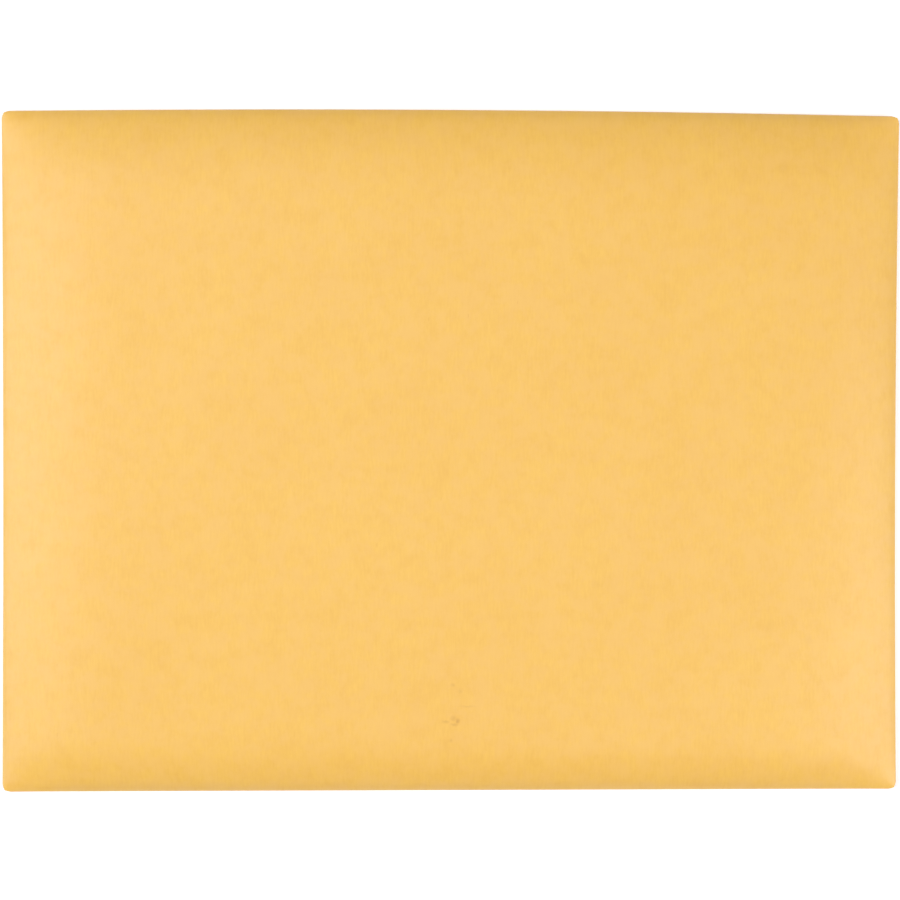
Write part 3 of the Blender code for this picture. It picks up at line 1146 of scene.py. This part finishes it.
    def front_height(self, x: float, y: float) -> float:
        """Find the height of the puffed front's middle.

        Args:
            x: the place along the length.
            y: the place across the width.

        Returns:
            The height above the floor.
        """
        pillow = self.roll(x, y, (self.roll_side, self.roll_closed, self.roll_flap))
        shoulder = self.roll(x, y, (self.shoulder_run, self.shoulder_end, self.shoulder_end))
        rise = self.puff * pillow + self.shoulder_rise * (shoulder - pillow)
        layers = self.side_height(math.copysign(self.fold_x, x), y) - self.rim_height
        seam = layers * max(0.0, 1 - (self.fold_x - abs(x)) / self.side_flap) ** 2
        return self.rim_height + 2 * self.fold_radius + seam + rise

    def drawn_in(self, x: float, y: float) -> tuple[float, float]:
        """Draw a plan position in, as the puffed front does with the folds.

        Args:
            x: the place along the length.
            y: the place across the width.

        Returns:
            The place where it ends up.
        """
        pull = self.right_pull if x > 0 else self.left_pull
        share_x = x / self.half_length
        share_y = y / self.half_width
        droop = self.closed_droop * max(share_y, 0.0) ** 2 * share_x ** 2
        return x - math.copysign(pull, x) * share_x ** 2 * (1 - share_y ** 2), y - droop

    def stations(self, needed: Sequence[float]) -> list[float]:
        """Lay grid lines through the marks, closest together near the ends.

        Args:
            needed: the marks.

        Returns:
            The lines, in order.
        """
        marks = sorted(needed)
        lines = [marks[0]]
        for start, stop in zip(marks, marks[1:]):
            middle = (start + stop) / 2
            reach = min(middle - marks[0], marks[-1] - middle)
            cell = min(self.edge_cell + self.cell_growth * reach, self.largest_cell)
            count = max(1, round((stop - start) / cell))
            lines += [start + (stop - start) * step / count for step in range(1, count + 1)]
        return lines

    def lengthwise(self) -> list[float]:
        """Lay the grid lines across the length, the same for every layer.

        Returns:
            The lines, in order.
        """
        clasp = self.patch_length / 2 + self.seat
        marks = [self.fold_x, self.fold_end_x, self.panel_x, self.side_flap_x, clasp, clasp / 2]
        marks += [self.fold_x - inset for inset in (self.rim_zone, self.rim_zone / 2,
                                                    self.roll_side, self.shoulder_run)]
        return self.stations([0.0] + marks + [-mark for mark in marks])

    def widthwise(self) -> list[float]:
        """Lay the grid lines across the width, the same for every layer.

        Returns:
            The lines, in order.
        """
        clasp = self.patch_width / 2 + self.seat
        lift = self.flap_end_y + self.flap_margin
        marks = [-self.fold_y, -self.fold_end_y, -self.panel_y, self.throat_y, self.flap_end_y,
                 self.panel_y, self.fold_end_y, self.fold_y, self.clasp_y - clasp, self.clasp_y,
                 lift, lift + self.flap_step, self.fold_y - self.roll_closed,
                 self.fold_y - self.rim_zone, self.fold_y - self.shoulder_end]
        return self.stations(marks)


@dataclass
class FoldedSheet:
    """The one sheet of kraft paper, cut, folded and glued into an envelope.

    Attributes:
        outline: its outline and puffed form.
        hole_radius: of the flap's hole.
        shank_hole: radius of the eyelet's hole.
        levels: heights between which the two holes' cutters end.
        cockle: sizes of the front's soft waves.
        ridge: how far a fold's wear reaches, in fold radii.
        smooth_angle: edges bent more than this many degrees stay sharp.
    """

    outline: Outline
    hole_radius: float
    shank_hole: float
    levels: tuple[float, float]
    cockle: dict[str, float] = field(default_factory=lambda: {
        "Depth": 0.00022, "Wave": 0.030, "Stretch": 1.8, "Seed": 4.0})
    ridge: float = 1.3
    smooth_angle: float = 35
    item: bpy.types.Object | None = None

    def panel(self, xs: Sequence[float], ys: Sequence[float], height: Height) -> bmesh.types.BMesh:
        """Return a sheet over the given grid lines at the given height."""
        return grid([[(x, y, height(x, y)) for x in xs] for y in ys])

    def slope(self, height: Height, x: float, y: float, fold: Fold) -> float:
        """Find how steeply a sheet falls towards a fold.

        Args:
            height: the sheet's height.
            x: the place along the length.
            y: the place across the width.
            fold: the fold.

        Returns:
            The fall as an angle.
        """
        inside = height(x - fold.value[0] * PROBE, y - fold.value[1] * PROBE)
        return math.atan((inside - height(x, y)) / PROBE)

    def fold_reach(self, past: float) -> float:
        """Find how far a bend stands out.

        Args:
            past: how far past the fold's straight run the bend is.

        Returns:
            How far it stands out.
        """
        shape = self.outline
        drop = shape.corner_radius - math.sqrt(shape.corner_radius ** 2 - max(past, 0.0) ** 2)
        return shape.fold_radius - drop

    def bend(self, x: float, y: float, fold: Fold, upper: Height, lower: Height) -> list[Vector]:
        """Follow the paper round a fold.

        Args:
            x: where the bend begins, along the length.
            y: where it begins, across the width.
            fold: which fold it is.
            upper: the height of the sheet above.
            lower: the height of the sheet below.

        Returns:
            Points from the upper sheet round to the lower one.
        """
        shape = self.outline
        sideways = fold in (Fold.LEFT, Fold.RIGHT)
        past = abs(y) - shape.panel_y if sideways else abs(x) - shape.panel_x
        fall = self.slope(upper, x, y, fold)
        rise = -self.slope(lower, x, y, fold)
        arm = 8 / 3 * self.fold_reach(past) / (math.cos(fall) + math.cos(rise))
        side = Vector((*fold.value, 0))
        ends = Vector((x, y, upper(x, y))), Vector((x, y, lower(x, y)))
        above = ends[0] + arm * (side * math.cos(fall) - Vector((0, 0, math.sin(fall))))
        below = ends[1] + arm * (side * math.cos(rise) - Vector((0, 0, math.sin(rise))))
        points = []
        for step in range(shape.bend_steps + 1):
            share = step / shape.bend_steps
            rest = 1 - share
            points.append(rest ** 3 * ends[0] + 3 * rest ** 2 * share * above
                          + 3 * rest * share ** 2 * below + share ** 3 * ends[1])
        return points

    def front(self, xs: Sequence[float], ys: Sequence[float]) -> bmesh.types.BMesh:
        """Shape the front panel with rounded corners, marked where it is loose.

        Args:
            xs: grid lines across the length.
            ys: grid lines across the width.

        Returns:
            The panel.
        """
        shape = self.outline
        sheet = self.panel(xs, ys, shape.front_height)
        for quarter, (side, end) in enumerate(((1, 1), (-1, 1), (-1, -1), (1, -1))):
            centre = (side * shape.panel_x, end * shape.panel_y)
            start = quarter * math.pi / 2
            cut_round(sheet, centre, shape.corner_radius, (start, start + math.pi / 2),
                      shape.arc_steps)
        layer = sheet.verts.layers.float.new("loose")
        for vert in sheet.verts:
            inset = min(shape.fold_x - abs(vert.co.x), shape.fold_y - abs(vert.co.y))
            vert[layer] = 1 - fade(inset, 0.0, shape.roll_flap)
        return sheet

    def side_flap(self, xs: Sequence[float], ys: Sequence[float], side: int) -> bmesh.types.BMesh:
        """Shape a side flap, its ends cut on the slant.

        Args:
            xs: grid lines across the length.
            ys: grid lines across the width.
            side: -1 for the left flap and 1 for the right one.

        Returns:
            The flap.
        """
        shape = self.outline
        edges = sorted((side * shape.side_flap_x, side * shape.fold_x))
        sheet = self.panel(within(xs, *edges), within(ys, -shape.fold_end_y, shape.fold_end_y),
                           shape.side_height)
        for end in (-1, 1):
            root = Vector((side * shape.fold_x, end * shape.fold_end_y))
            tip = Vector((side * shape.side_flap_x,
                          end * (shape.fold_end_y - shape.side_flap_slant)))
            cut_straight(sheet, *((root, tip) if side * end > 0 else (tip, root)))
        return sheet

    def seal_flap(self, xs: Sequence[float], ys: Sequence[float]) -> bmesh.types.BMesh:
        """Shape the seal flap, tapered from its fold and rounded at its corners.

        Args:
            xs: grid lines across the length.
            ys: grid lines across the width.

        Returns:
            The flap.
        """
        shape = self.outline
        sheet = self.panel(within(xs, -shape.fold_end_x, shape.fold_end_x),
                           within(ys, -shape.fold_y, shape.flap_end_y), shape.flap_height)
        taper = math.atan2(shape.flap_taper, shape.flap_end_y + shape.fold_y)
        half = shape.fold_end_x - shape.flap_taper
        inset = shape.flap_corner * (1 - math.sin(taper)) / math.cos(taper)
        for side in (-1, 1):
            root = Vector((side * shape.fold_end_x, -shape.fold_y))
            tip = Vector((side * half, shape.flap_end_y))
            cut_straight(sheet, *((root, tip) if side > 0 else (tip, root)))
            centre = (side * (half - inset), shape.flap_end_y - shape.flap_corner)
            right = (taper, math.pi / 2)
            angles = right if side > 0 else (math.pi / 2, math.pi - taper)
            cut_round(sheet, centre, shape.flap_corner, angles, shape.arc_steps)
        return sheet

    def surface(self) -> bmesh.types.BMesh:
        """Join the whole folded sheet, through the middle of the paper.

        Returns:
            The sheet.
        """
        shape = self.outline
        xs, ys = shape.lengthwise(), shape.widthwise()
        fold_xs = within(xs, -shape.fold_end_x, shape.fold_end_x)
        fold_ys = within(ys, -shape.fold_end_y, shape.fold_end_y)
        front, back = shape.front_height, shape.back_height
        pieces = [self.front(xs, ys), self.seal_flap(xs, ys),
                  self.panel(fold_xs, within(ys, shape.throat_y, shape.fold_y), back),
                  grid([self.bend(x, shape.fold_y, Fold.CLOSED, front, back) for x in fold_xs]),
                  grid([self.bend(x, -shape.fold_y, Fold.FLAP, front, shape.flap_height)
                        for x in fold_xs])]
        for side, fold in ((-1, Fold.LEFT), (1, Fold.RIGHT)):
            pieces.append(self.side_flap(xs, ys, side))
            pieces.append(grid([self.bend(side * shape.fold_x, y, fold, front, shape.side_height)
                                for y in fold_ys]))
        whole = bmesh.new()
        whole.verts.layers.float.new("loose")
        for piece in pieces:
            mesh = bpy.data.meshes.new("piece")
            piece.to_mesh(mesh)
            piece.free()
            whole.from_mesh(mesh)
            bpy.data.meshes.remove(mesh)
        bmesh.ops.remove_doubles(whole, verts=whole.verts[:], dist=WELD)
        bmesh.ops.recalc_face_normals(whole, faces=whole.faces[:])
        for vert in whole.verts:
            vert.co.x, vert.co.y = shape.drawn_in(vert.co.x, vert.co.y)
        return whole

    def build(self, finish: bpy.types.Material, edge_finish: bpy.types.Material) -> None:
        """Make the sheet's mesh.

        Args:
            finish: the paper's face.
            edge_finish: its cut edges.
        """
        shape = self.outline
        self.item = new_object("kraft_sheet", self.surface())
        add_rule(self.item, cockle_rule, self.cockle, finish)
        settle(self.item, smooth_angle=180)
        self.item.data.materials.append(edge_finish)
        thicken(self.item, shape.paper, rim_slot=1)
        centre = (0.0, shape.clasp_y)
        cutters = (bore("flap_hole_tool", self.hole_radius, centre, -shape.metal, self.levels[0]),
                   bore("shank_hole_tool", self.shank_hole, centre, *self.levels))
        for cutter in cutters:
            cutter.data.materials.append(edge_finish)
            cut_with(self.item, cutter)
        settle(self.item, self.smooth_angle)
        for cutter in cutters:
            bpy.data.objects.remove(cutter, do_unlink=True)
        self.mark_folds()

    def mark_folds(self) -> None:
        """Store how near each point is to a fold's ridge."""
        shape = self.outline
        points = points_of(self.item)
        share_y = points[:, 1] / shape.half_width
        share_x = points[:, 0] / shape.half_length
        pull = np.where(points[:, 0] > 0, shape.right_pull, shape.left_pull)
        inset_x = shape.half_length - pull * (1 - share_y ** 2) - np.abs(points[:, 0])
        closed = shape.half_width - shape.closed_droop * share_x ** 2 - points[:, 1]
        inset = np.minimum(inset_x, np.minimum(closed, points[:, 1] + shape.half_width))
        paint(self.item, "crease", np.clip(1 - inset / (self.ridge * shape.fold_radius), 0, 1))

    def dress(self) -> None:
        """Tell the frame what the sheet stands for."""
        declare(self.item, "kraft_envelope")


@dataclass
class Clasp:
    """The stamped clasp, its land under the eyelet and its prongs bent flat.

    Attributes:
        centre: the eyelet's axis in plan.
        prong_length: from the axis to a prong's tip.
        land_height: of the land's middle above the floor.
        metal: its thickness.
        shank_hole: radius of the hole in its land.
        ease: how far a bend is eased into the flat, as a share of its run.
        steps: rows of the mesh from the axis to a tip.
        columns: columns of the mesh from the middle to an edge.
        last_row: where the row at a tip lies, so that it keeps a width.
        rounding: of the edges, as a share of the thickness.
    """

    centre: tuple[float, float]
    prong_length: float
    land_height: float
    metal: float
    shank_hole: float
    land_radius: float = 0.0034
    land_length: float = 0.0030
    bend_run: float = 0.0010
    neck_width: float = 0.0044
    prong_width: float = 0.0060
    shoulder: float = 0.0026
    tip_radius: float = 0.0024
    ease: float = 0.35
    steps: int = 90
    columns: int = 18
    last_row: float = 0.999999
    rounding: float = 0.22
    item: bpy.types.Object | None = None

    def half_width(self, y: float) -> float:
        """Find half the strip's width.

        Args:
            y: distance from the axis.

        Returns:
            Half the width.
        """
        neck, start = self.neck_width / 2, self.land_length + self.bend_run
        tip_start = self.prong_length - self.tip_radius
        if y <= start:
            return max(neck, math.sqrt(max(self.land_radius ** 2 - y ** 2, 0.0)))
        if y <= tip_start:
            blade = self.prong_width / 2
            taper = (self.tip_radius - blade) * (y - start) / (tip_start - start)
            return blade + taper - (blade - neck) * fade(y, start, self.shoulder)
        return math.sqrt(max(self.tip_radius ** 2 - (y - tip_start) ** 2, 1e-9))

    def height(self, y: float) -> float:
        """Find the height of the strip's middle, eased at both bends.

        Args:
            y: distance from the axis.

        Returns:
            The height above the floor.
        """
        low = self.metal / 2
        ease = self.bend_run * self.ease
        share = fade(y, self.land_length - ease, self.bend_run + 2 * ease)
        return low + (self.land_height - low) * share

    def build(self) -> None:
        """Make the strip's mesh."""
        rows = []
        for step in range(-self.steps, self.steps + 1):
            y = self.prong_length * math.sin(math.pi / 2 * step / self.steps) * self.last_row
            half = self.half_width(abs(y))
            rows.append([(self.centre[0] + half * column / self.columns, self.centre[1] + y,
                          self.height(abs(y)))
                         for column in range(-self.columns, self.columns + 1)])
        self.item = new_object("clasp_strip", grid(rows))
        thicken(self.item, self.metal)
        shank = bore("land_hole_tool", self.shank_hole, self.centre,
                     self.land_height - 3 * self.metal, self.land_height + 3 * self.metal)
        cut_with(self.item, shank)
        round_edges(self.item, self.metal * self.rounding, segments=2, angle=60)
        settle(self.item, smooth_angle=40)
        bpy.data.objects.remove(shank, do_unlink=True)
        points = points_of(self.item)
        away = np.abs(points[:, 1] - self.centre[1])
        half = np.array([self.half_width(float(y)) for y in away])
        rim = half - np.abs(points[:, 0] - self.centre[0])
        paint(self.item, "crease", np.clip(1 - rim / self.metal, 0, 1))

    def dress(self, finish: bpy.types.Material) -> None:
        """Give the strip its finish and tell the frame what it stands for."""
        self.item.data.materials.append(finish)
        declare(self.item, "metal_clasp")


@dataclass
class Eyelet:
    """The tubular eyelet, turned, with its clinched end split into petals.

    Attributes:
        centre: its axis in plan.
        bottom: its head's lowest point.
        top: its clinched end's highest point.
        steps: of the turned mesh, once round.
        petal_depth: how far the clinch is split between two petals.
        petal_root: where the splits begin, in shank radii.
        petal_metal: how far down the splits go, in thicknesses.
        sharpness: how narrow the splits are.
    """

    centre: tuple[float, float]
    bottom: float
    top: float
    metal: float = 0.00026
    shank_radius: float = 0.0014
    bore_radius: float = 0.0009
    head_radius: float = 0.0023
    clinch_radius: float = 0.0026
    petals: int = 6
    steps: int = 96
    petal_depth: float = 0.75
    petal_root: float = 1.1
    petal_metal: float = 1.2
    sharpness: float = 14.0
    item: bpy.types.Object | None = None

    def section(self) -> list[tuple[float, float]]:
        """Draw the turned section once round.

        Returns:
            Its points, each a radius and a height.
        """
        head_top = self.bottom + self.metal
        clinch = self.top - self.metal
        soft = self.metal / 2
        points = arc((self.bore_radius + soft, self.bottom + soft), soft, 180, 270, 4)
        points += arc((self.head_radius - soft, self.bottom + soft), soft, 270, 450, 8)
        points += [(self.shank_radius, head_top), (self.shank_radius, clinch)]
        points += arc((self.clinch_radius - soft, self.top - soft), soft, 270, 450, 8)
        points += arc((self.bore_radius + soft, self.top - soft), soft, 90, 180, 4)
        return points

    def build(self, finish: bpy.types.Material) -> None:
        """Make the eyelet's mesh.

        Args:
            finish: the eyelet's metal.
        """
        turned = bmesh.new()
        turns = [math.tau * step / self.steps for step in range(self.steps)]
        rings = [[turned.verts.new((radius * math.cos(turn), radius * math.sin(turn), height))
                  for radius, height in self.section()] for turn in turns]
        for ring, later in zip(rings, rings[1:] + rings[:1]):
            for index in range(len(ring)):
                turned.faces.new((ring[index - 1], later[index - 1], later[index], ring[index]))
        bmesh.ops.recalc_face_normals(turned, faces=turned.faces[:])
        self.item = new_object("eyelet_turned", turned)
        sizes = {"Petals": float(self.petals), "Depth": self.petal_depth,
                 "Reach From": self.shank_radius * self.petal_root,
                 "Above": self.top - self.petal_metal * self.metal, "Sharpness": self.sharpness}
        add_rule(self.item, petal_rule, sizes, finish)
        settle(self.item, smooth_angle=45)
        for vert in self.item.data.vertices:
            vert.co.x += self.centre[0]
            vert.co.y += self.centre[1]

    def dress(self) -> None:
        """Tell the frame what the eyelet stands for."""
        declare(self.item, "clasp_eyelet")


@dataclass
class Patches:
    """The two paper patches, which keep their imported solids.

    Attributes:
        nodes: the nodes' names.
    """

    nodes: tuple[str, ...] = ("flap_hole_patch", "clasp_backing_patch")

    def dress(self, finish: bpy.types.Material) -> None:
        """Give each patch its paper.

        Args:
            finish: the paper.
        """
        for name in self.nodes:
            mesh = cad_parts[name].data
            mesh.materials.clear()
            mesh.materials.append(finish)


@dataclass(frozen=True)
class Softbox:
    """A rectangular lamp with a soft front, aimed at the envelope.

    Attributes:
        name: the lamp's name.
        lean: how far it stands from straight overhead, in degrees towards +X and +Y.
        size: its width along X and along Y.
        glow: its brightness, where 1 is white.
        tint: its colour.
        reach: its distance from the envelope, negative for a lamp under the floor.
    """

    name: str
    lean: tuple[float, float]
    size: tuple[float, float]
    glow: float
    tint: Colour = (1.0, 1.0, 1.0)
    reach: float = 1.3

    def build(self) -> None:
        """Hang the lamp."""
        data = bpy.data.lights.new(self.name, "AREA")
        data.shape = "RECTANGLE"
        data.size, data.size_y = self.size
        data.energy = math.pi * self.glow * self.size[0] * self.size[1]
        data.color = self.tint
        lean_x, lean_y = (math.tan(math.radians(lean)) for lean in self.lean)
        place = Vector((lean_x, lean_y, 1.0)).normalized() * self.reach
        lamp = bpy.data.objects.new(self.name, data)
        lamp.location = place
        lamp.rotation_euler = place.to_track_quat("Z", "Y").to_euler()
        bpy.context.scene.collection.objects.link(lamp)


@dataclass
class Studio:
    """The floor, lamps, world and camera.

    Attributes:
        boxes: the lamps.
        ambient: strength of the even light from the world.
        camera_place: where the camera stands.
        camera_turn: its turn about X, Y and Z in degrees, from looking straight down.
        lens: its focal length in millimetres, on a 36 mm frame.
        floor_size: the floor's side.
        floor_gap: how far the floor lies under the envelope.
    """

    boxes: tuple[Softbox, ...]
    ambient: float
    camera_place: Point = (-0.02329, 0.01249, 0.75)
    camera_turn: Point = (-0.9353, -1.71, 0.1122)
    lens: float = 84.395
    floor_size: float = 6.0
    floor_gap: float = 0.00005

    def build(self, finish: bpy.types.Material) -> None:
        """Set up the studio.

        Args:
            finish: the floor's material.
        """
        sheet = bmesh.new()
        bmesh.ops.create_grid(sheet, x_segments=1, y_segments=1, size=self.floor_size / 2)
        bmesh.ops.translate(sheet, verts=sheet.verts[:], vec=(0, 0, -self.floor_gap))
        floor = new_object("studio_floor", sheet)
        floor.data.materials.append(finish)
        for box in self.boxes:
            box.build()
        self.light_world()
        self.place_camera()
        bpy.context.scene.view_settings.view_transform = "Standard"

    def light_world(self) -> None:
        """Light the world evenly and show it white to the camera and in gloss."""
        world = bpy.data.worlds.new("studio_world")
        bpy.context.scene.world = world
        world.use_nodes = True
        graph = Graph(world.node_tree)
        background = world.node_tree.nodes["Background"].inputs
        background["Color"].default_value = WHITE
        strength = graph.math("MAXIMUM", graph.background_rays(), self.ambient)
        graph.feed(background["Strength"], strength)

    def place_camera(self) -> None:
        """Hang the camera over the envelope."""
        data = bpy.data.cameras.new("camera")
        data.lens = self.lens
        camera = bpy.data.objects.new("camera", data)
        bpy.context.scene.collection.objects.link(camera)
        camera.location = self.camera_place
        camera.rotation_euler = [math.radians(turn) for turn in self.camera_turn]
        bpy.context.scene.camera = camera


def report(item: bpy.types.Object) -> None:
    """Log a finished piece."""
    LOG.info("%s: %d faces", item.name, len(item.data.polygons))


def main() -> None:
    """Build and dress every piece, then the studio."""
    logging.basicConfig(level=logging.INFO, format="%(name)s: %(message)s")
    effects = Effects.build()
    low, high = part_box("kraft_envelope")
    outline = Outline(length=LENGTH, width=WIDTH, height=high[2])
    eyelet_low, eyelet_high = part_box("clasp_eyelet")
    centre = (0.0, outline.clasp_y)
    clasp_low, clasp_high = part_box("metal_clasp")

    mark = DarkMark(place=MARK_PLACE)
    kraft = KraftFinish(mark=mark).build("kraft_paper", effects)
    cut_edge = KraftFinish(base=(0.90, 0.62, 0.26), streaks=0.22).build("kraft_cut_edge", effects)
    patch_paper = KraftFinish(base=(0.86, 0.49, 0.12), clouds=0.14).build("patch_paper", effects)
    strip = MetalFinish(base=(0.80, 0.63, 0.33), dull=(0.50, 0.37, 0.18), grain=Grain.ALONG_Y,
                        roughness=0.30, seed=11.0).build("clasp_brass", effects)
    turned = MetalFinish(base=(0.84, 0.68, 0.38), dull=(0.56, 0.43, 0.22), grain=Grain.ALONG_X,
                         roughness=0.24, seed=17.0).build("eyelet_brass", effects)

    sheet = FoldedSheet(outline, hole_radius=HOLE_RADIUS, shank_hole=SHANK_HOLE,
                        levels=HOLE_LEVELS)
    sheet.build(kraft, cut_edge)
    sheet.dress()
    report(sheet.item)

    clasp = Clasp(centre, prong_length=(clasp_high[1] - clasp_low[1]) / 2,
                  land_height=clasp_high[2] - outline.metal / 2, metal=outline.metal,
                  shank_hole=SHANK_HOLE)
    clasp.build()
    clasp.dress(strip)
    report(clasp.item)

    eyelet = Eyelet(centre, bottom=eyelet_low[2], top=eyelet_high[2])
    eyelet.build(turned)
    eyelet.dress()
    report(eyelet.item)

    Patches().dress(patch_paper)
    LOG.info("patches: dressed")

    boxes = (Softbox("left_softbox", lean=(-44, 3), size=(0.8, 1.2), glow=3.5,
                     tint=(1.0, 1.0, 1.10)),
             Softbox("right_softbox", lean=(46, -20), size=(0.7, 1.0), glow=3.95,
                     tint=(1.0, 0.96, 1.02)),
             Softbox("overhead_softbox", lean=(-2, 3), size=(0.7, 1.5), glow=1.3,
                     tint=(1.0, 0.95, 0.94)),
             Softbox("under_softbox", lean=(8, 8), size=(1.2, 1.2), glow=2.4, reach=-1.2))
    Studio(boxes=boxes, ambient=0.12).build(FloorFinish().build("studio_floor_paper"))


if __name__ == "__main__":
    main()
